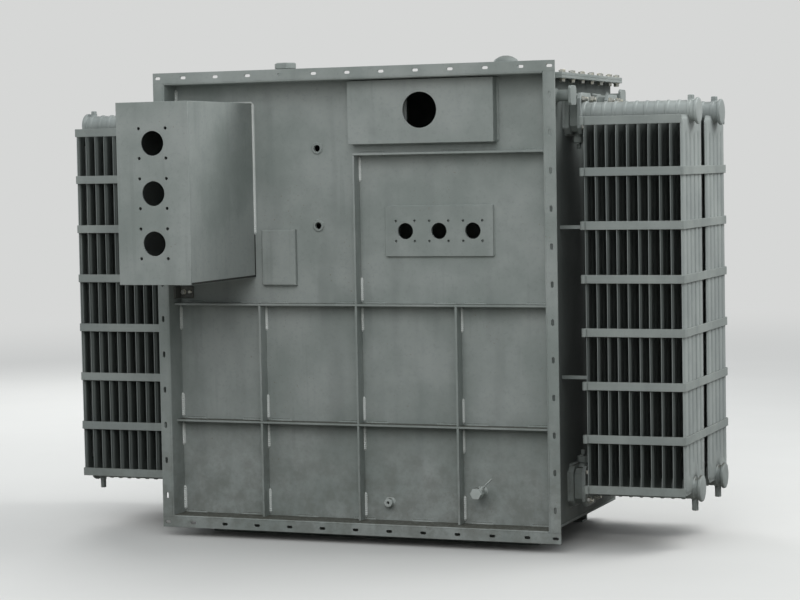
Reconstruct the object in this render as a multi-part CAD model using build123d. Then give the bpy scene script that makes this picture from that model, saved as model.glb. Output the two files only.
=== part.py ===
"""Welded oil tank of a box-type power transformer, with four panel radiators.

Frame: millimetres, +Z up, +X to the right of someone facing the bolting frame, which looks
towards -Y. The origin is on the floor, in the middle of the overall width and depth.
"""
from build123d import *
import math
import os

# Tank body
tank_w = 1724.0            # over the side walls
tank_d = 855.0             # front face of front wall to back face of back wall
tank_top = 1953.0          # top edge of the walls
tank_floor = 85.0          # underside of the base plate
wall_t = 8.0
base_t = 12.0
cover_t = 12.0
rim_w = 42.0               # how far rim and cover stand out past the walls
rim_t = 12.0

# Bolting frame round the front, for the switchgear compartment
frame_depth = 110.0        # frame face to front wall
frame_flange_w = 45.0      # how far the flange turns outwards
frame_t = 8.0
slot_len = 26.0
slot_w = 12.0
slot_corner = 3.5          # cut off where a slot's ends aren't round
slot_pitch_x = 152.5
slot_pitch_z = 154.0
slots_across = 11          # between the two corner slots
slots_up = 12
round_across = 3.0         # pitches from the middle to the slots with round ends
round_up = 2.5

# Flat-bar stiffeners, on edge
bar_depth = 60.0
bar_t = 9.0
post_pitch = 448.0
rail_low_z = 502.0
rail_mid_z = 1010.0
rail_high_z = 1645.0

# High-voltage cable box on the front wall
box_w = 329.0
box_reach = 620.0          # front wall to the box's front face
box_side_gap = 45.0        # tank's left side to the box
box_bottom_z = 1125.0
box_t = 8.0
hv_bore_r = 50.5
hv_pitch = 205.0
hv_margin = 169.0          # lowest bore to the box's bottom, and highest to its top
hv_bolt_square = 122.0
hv_bolt_r = 6.5

# Low-voltage plate with three bores
lv_w = 480.0
lv_h = 212.0
lv_t = 12.0
lv_x = 362.0
lv_z = 1320.0
lv_bore_r = 34.0
lv_pitch = 150.0
bore_clearance = 4.0       # bore to the sides of the wall's square opening behind it

# Raised port housing above the low-voltage plate
port_w = 648.0
port_h = 266.0
port_depth = 55.0
port_x = 300.0
port_bottom_z = 1687.0
port_bore_r = 75.0
port_bore_up = 138.0       # housing's bottom to the bore

# Small pieces on the front wall
pad_w = 157.0
pad_h = 240.0
pad_t = 22.0
pad_gap = 40.0             # cable box's right side to the pad
pad_bottom_z = 1091.0
gauge_hole_r = 14.0
gauge_hole_x = -188.0
gauge_hole_low_z = 1345.0
gauge_hole_high_z = 1674.0
drain_from_post = 84.0     # middle of the right-hand post to the valve
drain_z = 230.0
drain_pipe_r = 17.0
drain_body_r = 25.0        # of the hexagon, across its flats
drain_body_len = 44.0
drain_stem_w = 14.0
drain_stem_up = 52.0
drain_reach = 88.0
earth_x = 118.0
earth_z = 170.0
earth_r = 18.0
earth_len = 30.0

# Panel radiators, two a side
panels = 10
panel_pitch = 45.0
panel_w = 337.0
panel_bottom_z = 228.0
panel_top_z = 1782.0
panel_corner = 26.0        # clipped corners of each panel
panel_t = 11.0             # over the flutes
seam_t = 3.0               # where the two sheets are welded together
seam_w = 10.0              # flat weld seam along both edges
face_flutes = 5            # on the outer panel of each stack
flute_gap = 12.0
flute_slope = 7.0
first_panel_out = 114.0    # side wall to the middle of the first panel
radiator_gap = 65.0
header_r = 44.5
notch_sides = 6            # of the prism cut out of the panels, whose flats touch the header
header_low_in = 14.0       # lower header's axis above the panels' lower ends
header_high_out = 16.0     # upper header's axis past their upper ends
header_end = 25.0          # last panel's middle to the cap
cap_r = 55.0
cap_t = 14.0

# Weld pads, square flanges and butterfly valves between tank and radiators
pad_flange_t = 24.0
flange_side = 170.0
flange_corner = 24.0
flange_t = 16.0
valve_side = 150.0
valve_t = 36.0
spindle_w = 18.0
spindle_up = 148.0         # header's axis to the spindle's end

# Straps that tie the panels together
strap_h = 35.0
strap_t = 6.0
strap_levels = 8
strap_pitch = 220.0
strap_end_pitch = 210.0
strap_overhang = 14.0      # strap's end past the first panel's middle
stay_h = 15.0
stay_t = 6.0
stay_in = 22.0             # radiator's front edge to the stay
stay_low_z = 708.0
stay_high_z = 1329.0

# Base skids
skid_len = 1500.0
skid_w = 80.0
skid_web = 8.0
skid_inset = 110.0         # tank's front and back walls to the skids

# Cover fittings and lifting bollards
bollard_r = 24.0
bollard_len = 62.0
bollard_plate = 80.0
bollard_plate_t = 12.0
bollard_in = 55.0          # tank's corner to the bollard's axis, along Y
bollard_z = 1870.0
filler_r = 38.0
filler_h = 70.0
filler_cap_w = 90.0        # of the hexagon cap, across its flats
filler_cap_h = 26.0
relief_r = 62.0
relief_h = 94.0
relief_edge = 24.0
fitting_x = 520.0          # fittings each side of the cover's middle

# Places worked out from the sizes above
half_w = tank_w / 2
drain_x = post_pitch + drain_from_post
overall_depth = box_reach + tank_d + bar_depth
wall_y = box_reach - overall_depth / 2
frame_y = wall_y - frame_depth
back_y = wall_y + tank_d
mid_y = (wall_y + back_y) / 2
frame_half_w = half_w + frame_flange_w
frame_low_z = tank_floor - frame_flange_w
frame_high_z = tank_top + cover_t + frame_flange_w
frame_mid_z = (frame_low_z + frame_high_z) / 2
slot_half_x = half_w + frame_flange_w / 2
slot_half_z = (frame_high_z - frame_low_z - frame_flange_w) / 2
box_x = box_side_gap + box_w / 2 - half_w
box_front_y = wall_y - box_reach
box_h = 2 * (hv_margin + hv_pitch)
pad_x = box_x + box_w / 2 + pad_gap + pad_w / 2
header_low_z = panel_bottom_z + header_low_in
header_high_z = panel_top_z + header_high_out
first_panel_x = half_w + first_panel_out
last_panel_x = first_panel_x + (panels - 1) * panel_pitch
cap_x = last_panel_x + header_end
radiator_y = (panel_w + radiator_gap) / 2
strap_low_z = panel_bottom_z + strap_h / 2


def block(x0, x1, y0, y1, z0, z1):
    """Box between two corners."""
    return Pos((x0 + x1) / 2, (y0 + y1) / 2, (z0 + z1) / 2) * Box(x1 - x0, y1 - y0, z1 - z0)


def disc_y(radius, y0, y1, x, z):
    """Cylinder along Y, from y0 to y1."""
    return Pos(x, (y0 + y1) / 2, z) * Rot(90, 0, 0) * Cylinder(radius, y1 - y0)


def disc_x(radius, x0, x1, y, z):
    """Cylinder along X, from x0 to x1."""
    return Pos((x0 + x1) / 2, y, z) * Rot(0, 90, 0) * Cylinder(radius, x1 - x0)


def disc_z(radius, z0, z1, x, y):
    """Cylinder along Z, from z0 to z1."""
    return Pos(x, y, (z0 + z1) / 2) * Cylinder(radius, z1 - z0)


def prism_x(sides, apothem, x0, x1, y, z):
    """Regular prism along X with a flat on top."""
    outline = Plane.YZ * RegularPolygon(apothem, sides, major_radius=False, rotation=180 / sides)
    return Pos(x0, y, z) * extrude(outline, x1 - x0)


def square_plate_x(side, corner, x0, x1, y, z):
    """Square plate across X with its corners clipped."""
    outline = chamfer(Rectangle(side, side).vertices(), corner)
    return Pos(x0, y, z) * extrude(Plane.YZ * outline, x1 - x0)


def mirrored_x(shape):
    """The same piece on the other side of the tank's middle."""
    return mirror(shape, about=Plane.YZ)


def square_holes(radius, square, y0, y1, x, z):
    """Four holes along Y on a square about (x, z)."""
    half = square / 2
    return [disc_y(radius, y0, y1, x + sx * half, z + sz * half) for sx in (-1, 1) for sz in (-1, 1)]


def slot_y(x, z, upright, round_ended):
    """Slot through the frame's flange, along Z if upright, else along X.

    The slots that a bolt's fit is stated for have round ends. The rest have clipped corners.
    """
    if round_ended:
        outline = SlotOverall(slot_len, slot_w, rotation=90 if upright else 0)
    else:
        size = (slot_w, slot_len) if upright else (slot_len, slot_w)
        outline = chamfer(Rectangle(*size).vertices(), slot_corner)
    return Pos(x, frame_y + 2 * frame_t, z) * extrude(Plane.XZ * outline, 3 * frame_t)


def opening_y(half, y0, y1, x, z):
    """Square opening through a wall from y0 to y1."""
    return block(x - half, x + half, y0 - 1, y1 + 1, z - half, z + half)


def centred_row(count):
    """Places of a row of slots in pitches from its middle."""
    return [k - (count - 1) / 2 for k in range(count)]


# Walls, base and cover

def side_wall():
    """Right side wall, between the front and back walls."""
    return block(half_w - wall_t, half_w, wall_y + wall_t, back_y - wall_t, tank_floor + base_t, tank_top)


def back_wall():
    return block(-half_w, half_w, back_y - wall_t, back_y, tank_floor + base_t, tank_top)


def base_plate():
    return block(-half_w, half_w, wall_y, back_y, tank_floor, tank_floor + base_t)


def cover():
    """Lid plate, over the walls and rim, against the back of the bolting frame."""
    out = half_w + rim_w
    return block(-out, out, wall_y, back_y + rim_w, tank_top, tank_top + cover_t)


def rim_sides():
    """Flat bars under the cover along both side walls."""
    right = block(half_w, half_w + rim_w, wall_y, back_y + rim_w, tank_top - rim_t, tank_top)
    return [right, mirrored_x(right)]


def rim_back():
    return block(-half_w, half_w, back_y, back_y + rim_w, tank_top - rim_t, tank_top)


def front_wall_lower():
    """Front wall below the cable box, over the full width."""
    return block(-half_w, half_w, wall_y, wall_y + wall_t, tank_floor + base_t, box_bottom_z)


def front_wall_upper():
    """Front wall right of the cable box, with square openings behind the bored plates."""
    left = box_x + box_w / 2
    y0, y1 = wall_y, wall_y + wall_t
    holes = [opening_y(lv_bore_r + bore_clearance, y0, y1, x, lv_z) for x in lv_bore_xs()]
    holes.append(opening_y(port_bore_r + bore_clearance, y0, y1, port_x, port_bottom_z + port_bore_up))
    for z in (gauge_hole_low_z, gauge_hole_high_z):
        holes.append(disc_y(gauge_hole_r, y0 - 1, y1 + 1, gauge_hole_x, z))
    return block(left, half_w, y0, y1, box_bottom_z, tank_top) - holes


def front_wall_corner():
    """What is left of the front wall beside and over the cable box."""
    top_left = block(-half_w, box_x + box_w / 2, wall_y, wall_y + wall_t, box_bottom_z, tank_top)
    x0, x1 = box_x - box_w / 2, box_x + box_w / 2
    opening = block(x0, x1, wall_y - 1, wall_y + wall_t + 1, box_bottom_z, box_bottom_z + box_h)
    return top_left - opening


# Bolting frame, four angles with the flange turned outwards

def frame_side():
    """Right upright, between the top and bottom angles."""
    web = block(half_w - frame_t, half_w, frame_y, wall_y, tank_floor, tank_top + cover_t)
    flange = block(half_w, frame_half_w, frame_y, frame_y + frame_t, tank_floor, tank_top + cover_t)
    slots = [
        slot_y(slot_half_x, frame_mid_z + k * slot_pitch_z, True, abs(k) == round_up)
        for k in centred_row(slots_up)
    ]
    return web + flange - slots


def frame_across(web_z, flange_z, slot_z):
    """Top or bottom angle over the full width, with the corner slots."""
    web = block(frame_t - half_w, half_w - frame_t, frame_y, wall_y, web_z[0], web_z[1])
    flange = block(-frame_half_w, frame_half_w, frame_y, frame_y + frame_t, flange_z[0], flange_z[1])
    slots = [
        slot_y(k * slot_pitch_x, slot_z, False, abs(k) == round_across) for k in centred_row(slots_across)
    ]
    slots += [slot_y(side * slot_half_x, slot_z, False, True) for side in (-1, 1)]
    return web + flange - slots


def frame_bottom():
    web_z = (tank_floor, tank_floor + frame_t)
    return frame_across(web_z, (frame_low_z, tank_floor), frame_mid_z - slot_half_z)


def frame_top():
    top = tank_top + cover_t
    return frame_across((top - frame_t, top), (top, frame_high_z), frame_mid_z + slot_half_z)


# Stiffeners

def rail(x0, x1, z, y_root, y_edge):
    y0, y1 = sorted((y_root, y_edge))
    return block(x0, x1, y0, y1, z - bar_t / 2, z + bar_t / 2)


def post(x, z0, z1, y_root, y_edge):
    y0, y1 = sorted((y_root, y_edge))
    return block(x - bar_t / 2, x + bar_t / 2, y0, y1, z0, z1)


def front_rails():
    """Two full rails and the upper one over the right-hand field."""
    inside = half_w - frame_t
    edge = wall_y - bar_depth
    full = [rail(-inside, inside, z, wall_y, edge) for z in (rail_low_z, rail_mid_z)]
    return full + [rail(-bar_t / 2, inside, rail_high_z, wall_y, edge)]


def front_posts():
    """Posts cut off at the rails: the middle one runs up to the upper rail."""
    edge = wall_y - bar_depth
    low = tank_floor + frame_t
    half = bar_t / 2
    bars = []
    for x in (-post_pitch, 0, post_pitch):
        bars.append(post(x, low, rail_low_z - half, wall_y, edge))
        bars.append(post(x, rail_low_z + half, rail_mid_z - half, wall_y, edge))
    bars.append(post(0, rail_mid_z + half, rail_high_z - half, wall_y, edge))
    return bars


def back_rails():
    edge = back_y + bar_depth
    return [rail(-half_w, half_w, z, back_y, edge) for z in (rail_low_z, rail_mid_z, rail_high_z)]


def back_posts():
    edge = back_y + bar_depth
    half = bar_t / 2
    stops = (tank_floor, rail_low_z, rail_mid_z, rail_high_z, tank_top - rim_t)
    bars = []
    for x in (-post_pitch, 0, post_pitch):
        for k, (low, high) in enumerate(zip(stops, stops[1:])):
            z0 = low + (half if k else 0)
            z1 = high - (half if k < len(stops) - 2 else 0)
            bars.append(post(x, z0, z1, back_y, edge))
    return bars


# Cable box

def cable_box_sides():
    """Both upright side plates, through the wall's opening to its inner face."""
    left = box_x - box_w / 2
    root = wall_y + wall_t
    plates = []
    for x0 in (left, left + box_w - box_t):
        plates.append(block(x0, x0 + box_t, box_front_y + box_t, root, box_bottom_z, box_bottom_z + box_h))
    return plates


def cable_box_ends():
    """Bottom and top plates, between the sides."""
    root = wall_y + wall_t
    x0 = box_x - box_w / 2 + box_t
    x1 = box_x + box_w / 2 - box_t
    plates = []
    for z0 in (box_bottom_z, box_bottom_z + box_h - box_t):
        plates.append(block(x0, x1, box_front_y + box_t, root, z0, z0 + box_t))
    return plates


def hv_bore_zs():
    first = box_bottom_z + hv_margin
    return [first + k * hv_pitch for k in range(3)]


def cable_box_front():
    """Front plate with three bushing bores, each in a square of bolt holes."""
    x0, x1 = box_x - box_w / 2, box_x + box_w / 2
    y0, y1 = box_front_y, box_front_y + box_t
    plate = block(x0, x1, y0, y1, box_bottom_z, box_bottom_z + box_h)
    holes = []
    for z in hv_bore_zs():
        holes.append(disc_y(hv_bore_r, y0 - 1, y1 + 1, box_x, z))
        holes += square_holes(hv_bolt_r, hv_bolt_square, y0 - 1, y1 + 1, box_x, z)
    return plate - holes


# Plates and small pieces on the front wall

def lv_bore_xs():
    return [lv_x + k * lv_pitch for k in (-1, 0, 1)]


def lv_plate():
    """Plate with three bores for bushings."""
    y0, y1 = wall_y - lv_t, wall_y
    plate = block(lv_x - lv_w / 2, lv_x + lv_w / 2, y0, y1, lv_z - lv_h / 2, lv_z + lv_h / 2)
    return plate - [disc_y(lv_bore_r, y0 - 1, y1 + 1, x, lv_z) for x in lv_bore_xs()]


def port_rim():
    """Four-sided rim that holds the port plate off the wall."""
    y0, y1 = wall_y - port_depth + wall_t, wall_y
    top = port_bottom_z + port_h
    rim = block(port_x - port_w / 2, port_x + port_w / 2, y0, y1, port_bottom_z, top)
    inner_w = port_w / 2 - wall_t
    inside = block(port_x - inner_w, port_x + inner_w, y0 - 1, y1 + 1, port_bottom_z + wall_t, top - wall_t)
    return rim - inside


def port_plate():
    """Face of the port housing, with one large bore."""
    y0 = wall_y - port_depth
    y1 = y0 + wall_t
    plate = block(port_x - port_w / 2, port_x + port_w / 2, y0, y1, port_bottom_z, port_bottom_z + port_h)
    return plate - disc_y(port_bore_r, y0 - 1, y1 + 1, port_x, port_bottom_z + port_bore_up)


def cover_pad():
    """Raised blank cover below the middle of the wall."""
    x0, x1 = pad_x - pad_w / 2, pad_x + pad_w / 2
    pad = block(x0, x1, wall_y - pad_t, wall_y, pad_bottom_z, pad_bottom_z + pad_h)
    return chamfer(pad.faces().sort_by(Axis.Y)[0].edges(), pad_t / 6)


def drain_valve():
    """Drain stub with a hexagon valve body and a square stem."""
    end = wall_y - drain_reach
    pipe = disc_y(drain_pipe_r, end, wall_y, drain_x, drain_z)
    hexagon = Plane.XZ * RegularPolygon(drain_body_r, 6, major_radius=False)
    body = Pos(drain_x, end + drain_body_len, drain_z) * extrude(hexagon, drain_body_len)
    half = drain_stem_w / 2
    mid = end + drain_body_len / 2
    stem = block(drain_x - half, drain_x + half, mid - half, mid + half, drain_z, drain_z + drain_stem_up)
    return pipe + body + stem


def earth_boss():
    return disc_y(earth_r, wall_y - earth_len, wall_y, earth_x, earth_z)


# Radiators

def fluted_edge():
    """Half of a fluted section: its points along Y, between the two edges."""
    half_seam, half_t = seam_t / 2, panel_t / 2
    flute_w = (panel_w - 2 * seam_w - (face_flutes - 1) * flute_gap) / face_flutes
    edge = []
    for k in range(face_flutes):
        y = seam_w - panel_w / 2 + k * (flute_w + flute_gap)
        edge += [
            (half_seam, y), (half_t, y + flute_slope),
            (half_t, y + flute_w - flute_slope), (half_seam, y + flute_w),
        ]
    return edge


def plain_edge():
    """Half of a plain section, tapered to the seams: the stand-in inside a stack."""
    y = panel_w / 2 - seam_w - flute_slope
    return [(panel_t / 2, -y), (panel_t / 2, y)]


def panel(edge):
    """One pressed panel at the origin, with clipped corners, notched round the upper header and
    slotted from below for the lower one."""
    right = [(seam_t / 2, -panel_w / 2)] + edge + [(seam_t / 2, panel_w / 2)]
    left = [(-x, y) for x, y in reversed(right)]
    section = make_face(Polyline(*right, *left, close=True))
    slab = Pos(0, 0, panel_bottom_z) * extrude(section, panel_top_z - panel_bottom_z)
    outline = Plane.YZ * Rectangle(panel_w, panel_top_z - panel_bottom_z)
    outline = chamfer(outline.vertices(), panel_corner)
    clipped = Pos(-panel_t, 0, (panel_bottom_z + panel_top_z) / 2) * extrude(outline, 2 * panel_t)
    notches = [
        prism_x(notch_sides, header_r, -panel_t, panel_t, 0, z) for z in (header_low_z, header_high_z)
    ]
    half = header_r / math.cos(math.pi / notch_sides)
    slot = block(-panel_t, panel_t, -half, half, panel_bottom_z - panel_t, header_low_z)
    return (slab & clipped) - notches - slot


def radiator_panels(y):
    """Stack of panels: the outer one, which shows its face, has its flutes pressed one by one."""
    inner, outer = panel(plain_edge()), panel(fluted_edge())
    stack = [Pos(first_panel_x + k * panel_pitch, y, 0) * inner for k in range(panels - 1)]
    return stack + [Pos(last_panel_x, y, 0) * outer]


def header(y, z):
    """Header pipe with its square flange at the valve and its cap beyond the last panel."""
    inner = half_w + pad_flange_t + valve_t
    pipe = disc_x(header_r, inner, cap_x, y, z)
    flange = square_plate_x(flange_side, flange_corner, inner, inner + flange_t, y, z)
    return pipe + flange + disc_x(cap_r, cap_x, cap_x + cap_t, y, z)


def tank_flange(y, z):
    """Thick square pad welded to the side wall."""
    return square_plate_x(flange_side, flange_corner, half_w, half_w + pad_flange_t, y, z)


def butterfly_valve(y, z, up):
    """Square valve body between the flanges, with its spindle pointing up or down."""
    x0 = half_w + pad_flange_t
    mid_x = x0 + valve_t / 2
    half = spindle_w / 2
    low, high = sorted((z, z + up * spindle_up))
    spindle = block(mid_x - half, mid_x + half, y - half, y + half, low, high)
    return square_plate_x(valve_side, flange_corner, x0, x0 + valve_t, y, z) + spindle


def strap_zs():
    """Heights of the straps: the end ones sit a little closer."""
    last = strap_levels - 1
    inner = [strap_low_z + strap_end_pitch + k * strap_pitch for k in range(last - 1)]
    return [strap_low_z] + inner + [panel_top_z - strap_h / 2]


def edge_straps(y0):
    """Straps across the panels' edges, from y0 outwards by their thickness."""
    x0 = first_panel_x - strap_overhang
    x1 = last_panel_x + panel_t / 2
    return [block(x0, x1, y0, y0 + strap_t, z - strap_h / 2, z + strap_h / 2) for z in strap_zs()]


def face_straps():
    """Straps across the outer panels of both radiators, clear of the headers."""
    x0 = last_panel_x + panel_t / 2
    reach = panel_w + radiator_gap / 2 + strap_t
    y0, y1 = mid_y - reach, mid_y + reach
    return [block(x0, x0 + strap_t, y0, y1, z - strap_h / 2, z + strap_h / 2) for z in strap_zs()[1:-1]]


def stays():
    """Thin bars that hold the first panel off the side wall, at the front and the back."""
    x1 = first_panel_x - panel_t / 2
    reach = panel_w + radiator_gap / 2 - stay_in
    bars = []
    for z in (stay_low_z, stay_high_z):
        for y in (mid_y - reach, mid_y + reach):
            bars.append(block(half_w, x1, y - stay_t / 2, y + stay_t / 2, z - stay_h / 2, z + stay_h / 2))
    return bars


# Base, bollards and cover fittings

def skid(y):
    """Channel on its edge under the tank, open towards the tank's middle."""
    side = 1 if y > mid_y else -1
    y0, y1 = y - skid_w / 2, y + skid_w / 2
    bar = block(-skid_len / 2, skid_len / 2, y0, y1, 0, tank_floor)
    hollow = block(
        -skid_len / 2, skid_len / 2, y0 + skid_web, y1 - skid_web, skid_web, tank_floor - skid_web
    )
    return bar - Pos(0, -side * skid_web, 0) * hollow


def lifting_bollards():
    """Four round bollards with end plates, high on the side walls near the corners."""
    end = half_w + bollard_len
    right = []
    for y in (wall_y + bollard_in, back_y - bollard_in):
        bar = disc_x(bollard_r, half_w, end, y, bollard_z)
        plate = square_plate_x(bollard_plate, bollard_plate / 4, end, end + bollard_plate_t, y, bollard_z)
        right.append(bar + plate)
    return right + [mirrored_x(piece) for piece in right]


def filler_neck():
    """Filler pipe with its hexagon screw cap."""
    top = tank_top + cover_t
    neck = disc_z(filler_r, top, top + filler_h, -fitting_x, mid_y)
    hexagon = RegularPolygon(filler_cap_w / 2, 6, major_radius=False)
    return neck + Pos(-fitting_x, mid_y, top + filler_h) * extrude(hexagon, filler_cap_h)


def relief_valve():
    """Pressure relief valve under a bevelled round hood."""
    top = tank_top + cover_t
    hood = disc_z(relief_r, top, top + relief_h, fitting_x, mid_y)
    return chamfer(hood.edges().group_by(Axis.Z)[-1], relief_edge)


def save(name, shape):
    """Write one node, a single piece or a list of pieces that don't touch."""
    piece = Compound(children=list(shape)) if isinstance(shape, (list, ShapeList)) else shape
    export_step(piece, f"parts/{name}.step")


def main():
    os.makedirs("parts", exist_ok=True)
    nodes = {
        "front_wall_lower": front_wall_lower(),
        "front_wall_upper": front_wall_upper(),
        "front_wall_corner": front_wall_corner(),
        "back_wall": back_wall(),
        "base_plate": base_plate(),
        "cover": cover(),
        "rim_sides": rim_sides(),
        "rim_back": rim_back(),
        "frame_bottom": frame_bottom(),
        "frame_top": frame_top(),
        "front_rails": front_rails(),
        "front_posts": front_posts(),
        "back_rails": back_rails(),
        "back_posts": back_posts(),
        "cable_box_sides": cable_box_sides(),
        "cable_box_ends": cable_box_ends(),
        "cable_box_front": cable_box_front(),
        "lv_plate": lv_plate(),
        "port_rim": port_rim(),
        "port_plate": port_plate(),
        "cover_pad": cover_pad(),
        "drain_valve": drain_valve(),
        "earth_boss": earth_boss(),
        "skid_front": skid(wall_y + skid_inset),
        "skid_back": skid(back_y - skid_inset),
        "lifting_bollards": lifting_bollards(),
        "filler_neck": filler_neck(),
        "relief_valve": relief_valve(),
    }
    headers_z = (header_low_z, header_high_z)
    pair_y = (mid_y - radiator_y, mid_y + radiator_y)
    reach = panel_w + radiator_gap / 2
    right = {
        "right_frame": frame_side(),
        "right_panels_front": radiator_panels(pair_y[0]),
        "right_panels_back": radiator_panels(pair_y[1]),
        "right_headers_front": [header(pair_y[0], z) for z in headers_z],
        "right_headers_back": [header(pair_y[1], z) for z in headers_z],
    }
    for name, shape in right.items():
        pieces = shape if isinstance(shape, list) else [shape]
        nodes[name] = pieces
        nodes[name.replace("right", "left")] = [mirrored_x(piece) for piece in pieces]
    both_sides = {
        "side_walls": [side_wall()],
        "tank_flanges": [tank_flange(y, z) for y in pair_y for z in headers_z],
        "valves": [butterfly_valve(y, z, 1 if z == header_low_z else -1) for y in pair_y for z in headers_z],
        "straps_front": edge_straps(mid_y - reach - strap_t),
        "straps_back": edge_straps(mid_y + reach),
        "straps_outer": face_straps(),
        "stays": stays(),
    }
    for name, pieces in both_sides.items():
        nodes[name] = pieces + [mirrored_x(piece) for piece in pieces]
    for name, shape in nodes.items():
        save(name, shape)


main()
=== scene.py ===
import bmesh
import bpy
import numpy as np
from mathutils import Matrix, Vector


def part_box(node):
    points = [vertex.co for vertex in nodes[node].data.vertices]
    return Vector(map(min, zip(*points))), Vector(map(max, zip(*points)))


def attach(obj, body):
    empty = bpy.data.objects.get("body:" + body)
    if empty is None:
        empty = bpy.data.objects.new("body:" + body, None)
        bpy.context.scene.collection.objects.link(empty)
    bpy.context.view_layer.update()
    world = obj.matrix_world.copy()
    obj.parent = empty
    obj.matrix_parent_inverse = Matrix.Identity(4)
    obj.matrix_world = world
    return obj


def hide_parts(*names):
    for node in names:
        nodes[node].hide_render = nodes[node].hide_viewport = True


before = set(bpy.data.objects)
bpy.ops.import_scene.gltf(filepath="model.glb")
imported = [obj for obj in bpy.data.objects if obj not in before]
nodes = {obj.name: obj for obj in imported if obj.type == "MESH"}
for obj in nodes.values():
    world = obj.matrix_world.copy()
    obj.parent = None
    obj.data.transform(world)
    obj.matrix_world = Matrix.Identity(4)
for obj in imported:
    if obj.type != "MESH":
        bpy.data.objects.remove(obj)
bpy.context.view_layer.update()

# Tank walls, base and cover: 8 and 12 mm mild steel plates, welded edge to edge. They were blasted
# and sprayed with a matt grey primer, which dries cloudy; dust and painted shade darken its lower parts.

EDGE_ROUND = 1.6  # mm, worn off the plates' cut edges by blasting and paint
X, Y, Z = np.eye(3)
# Dust on the lower parts, dark enough to be painted shade there as well.
DUST_AND_SHADE = "#6E716B"
# Colour that darkens faces which look up.
LEDGE_DARK = "#47473F"
RUST = "#6E523F"


def linear(hex_code):
    """Linear RGBA of an sRGB hex colour: c/12.92 up to 0.04045, above it ((c + 0.055)/1.055)^2.4."""
    c = np.array([int(hex_code[k:k + 2], 16) / 255 for k in (1, 3, 5)])
    c = np.where(c <= 0.04045, c / 12.92, ((c + 0.055) / 1.055) ** 2.4)
    return (*c.tolist(), 1.0)


def fill(tree, node, inputs):
    """Sets a node's inputs to values, or links them to other nodes' sockets."""
    for key, value in inputs.items():
        if isinstance(value, bpy.types.NodeSocket):
            tree.links.new(value, node.inputs[key])
        else:
            node.inputs[key].default_value = value


def add(tree, kind, inputs=None, **settings):
    """Adds a node with its inputs and settings."""
    new = tree.nodes.new("ShaderNode" + kind)
    for key, value in settings.items():
        setattr(new, key, value)
    fill(tree, new, inputs or {})
    return new


def along_axis(tree, vector, axis):
    return add(tree, "SeparateXYZ", {"Vector": vector}).outputs[axis]


def blank_material(name):
    """A material with its node tree, its surface shader and its object coordinates."""
    material = bpy.data.materials.new(name)
    material.use_nodes = True
    tree = material.node_tree
    coords = add(tree, "TexCoord").outputs["Object"]
    return material, tree, tree.nodes["Principled BSDF"], coords


def noise(tree, coords, feature_mm, detail=3.0, rough=0.5, stretch=(1.0, 1.0, 1.0)):
    """Noise whose blobs are feature_mm wide, drawn out along an axis by its stretch."""
    size = [1.0 / s for s in stretch]
    where = add(tree, "Mapping", {"Vector": coords, "Scale": size}).outputs["Vector"]
    inputs = {"Vector": where, "Scale": 1000.0 / feature_mm, "Detail": detail, "Roughness": rough}
    return add(tree, "TexNoise", inputs).outputs["Fac"]


def span(tree, value, low, high, to_low=0.0, to_high=1.0):
    """Value from low to high, eased onto to_low to to_high and held there outside."""
    inputs = {"Value": value, "From Min": low, "From Max": high, "To Min": to_low, "To Max": to_high}
    return add(tree, "MapRange", inputs, interpolation_type="SMOOTHSTEP").outputs["Result"]


def blend(tree, factor, one, two):
    """Colour one where the factor is 0 and colour two where it is 1."""
    inputs = {"Factor": factor, 6: one, 7: two}
    return add(tree, "Mix", inputs, data_type="RGBA").outputs[2]


def calc(tree, operation, *values):
    """One math node on numbers or other nodes' sockets."""
    return add(tree, "Math", dict(enumerate(values)), operation=operation).outputs[0]


def times(tree, one, two):
    return calc(tree, "MULTIPLY", one, two)


def bumped(tree, height, depth_mm, strength, under=None):
    """Normal of a bump, laid over another bump's normal where there is one."""
    inputs = {"Height": height, "Distance": depth_mm / 1000, "Strength": strength}
    if under is not None:
        inputs["Normal"] = under
    return add(tree, "Bump", inputs).outputs["Normal"]


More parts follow.
